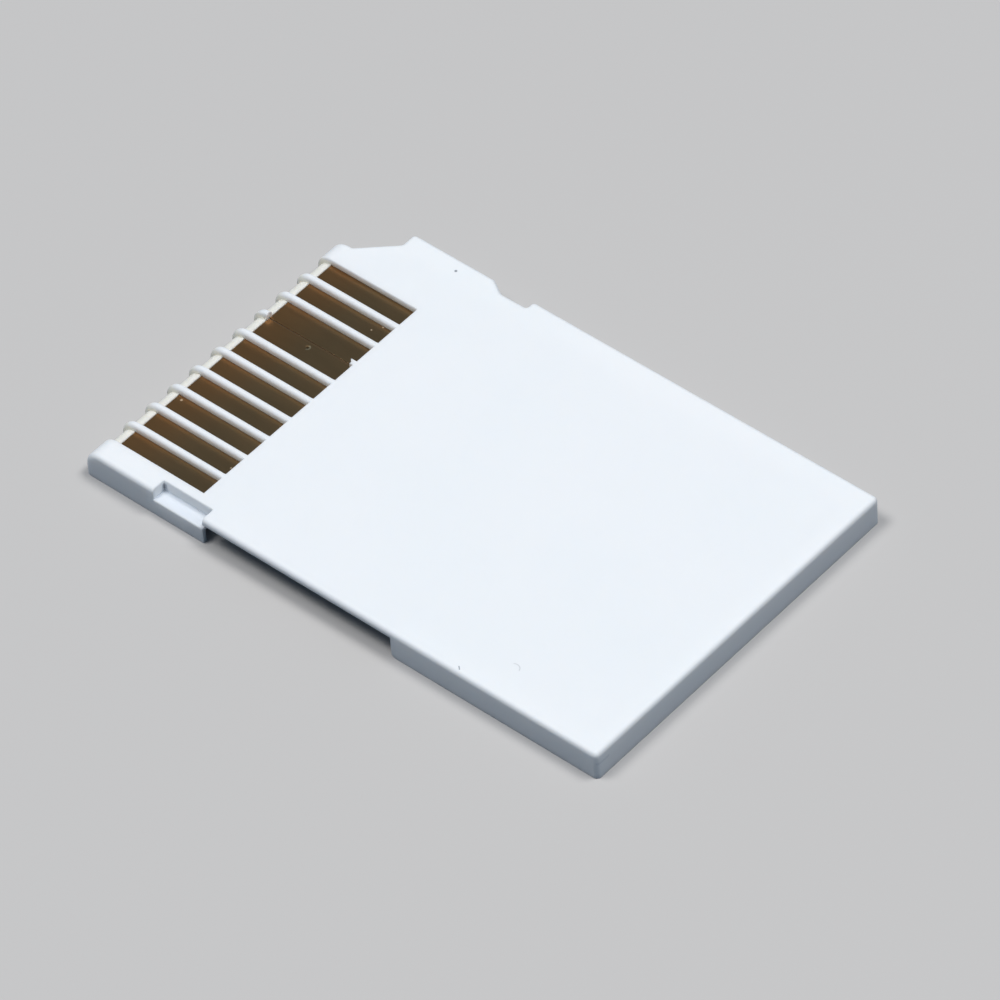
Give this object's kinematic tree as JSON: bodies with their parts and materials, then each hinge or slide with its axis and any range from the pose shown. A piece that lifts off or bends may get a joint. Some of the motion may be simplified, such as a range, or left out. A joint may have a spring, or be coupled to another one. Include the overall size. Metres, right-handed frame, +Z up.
{
  "type": "memory card adapter",
  "caption": "Slim white card-shaped adapter with a windowed contact comb, a cut corner, a side notch and a side slot that takes a smaller flash card.",
  "frame": {"origin": "middle of the underside, on the surface that the adapter lies on", "axes": "+Z up to the contact face, +Y towards the contact end that goes into the host first, +X towards the side with the cut corner and the notch"},
  "size_m": [0.02, 0.031, 0.0016],
  "materials": {
    "shell_plastic": "bluish white moulded plastic, fine satin surface with a few scuffs",
    "cover_plastic": "bluish white moulded plastic, plain satin",
    "board_laminate": "dark brown solder mask over glass laminate, faint raised tracks",
    "pad_gold": "gold plating dulled to bronze, lightly rubbed along its length",
    "socket_plastic": "charcoal glass-filled moulded polymer, streaky matte",
    "spring_metal": "thin stamped metal with bright gold flash",
    "chip_resin": "black moulded resin, fine matte grain",
    "capacitor_ceramic": "tan fired body with tinned ends",
    "resistor_ceramic": "black glazed top with tinned ends"
  },
  "bodies": {
    "root": {"contact_shell": "shell_plastic", "label_cover": "cover_plastic", "circuit_board": "board_laminate", "contact_pad_01": "pad_gold", "contact_pad_02": "pad_gold", "contact_pad_03": "pad_gold", "contact_pad_04": "pad_gold", "contact_pad_05": "pad_gold", "contact_pad_06": "pad_gold", "contact_pad_07": "pad_gold", "contact_pad_08": "pad_gold", "contact_pad_09": "pad_gold", "contact_pad_10": "pad_gold", "socket_frame": "socket_plastic", "card_spring_1": "spring_metal", "card_spring_2": "spring_metal", "card_spring_3": "spring_metal", "card_spring_4": "spring_metal", "card_spring_5": "spring_metal", "card_spring_6": "spring_metal", "card_spring_7": "spring_metal", "card_spring_8": "spring_metal", "controller_chip": "chip_resin", "capacitor_1": "capacitor_ceramic", "capacitor_2": "capacitor_ceramic", "capacitor_3": "capacitor_ceramic", "resistor_1": "resistor_ceramic", "resistor_2": "resistor_ceramic", "resistor_3": "resistor_ceramic"}
  },
  "joints": []
}
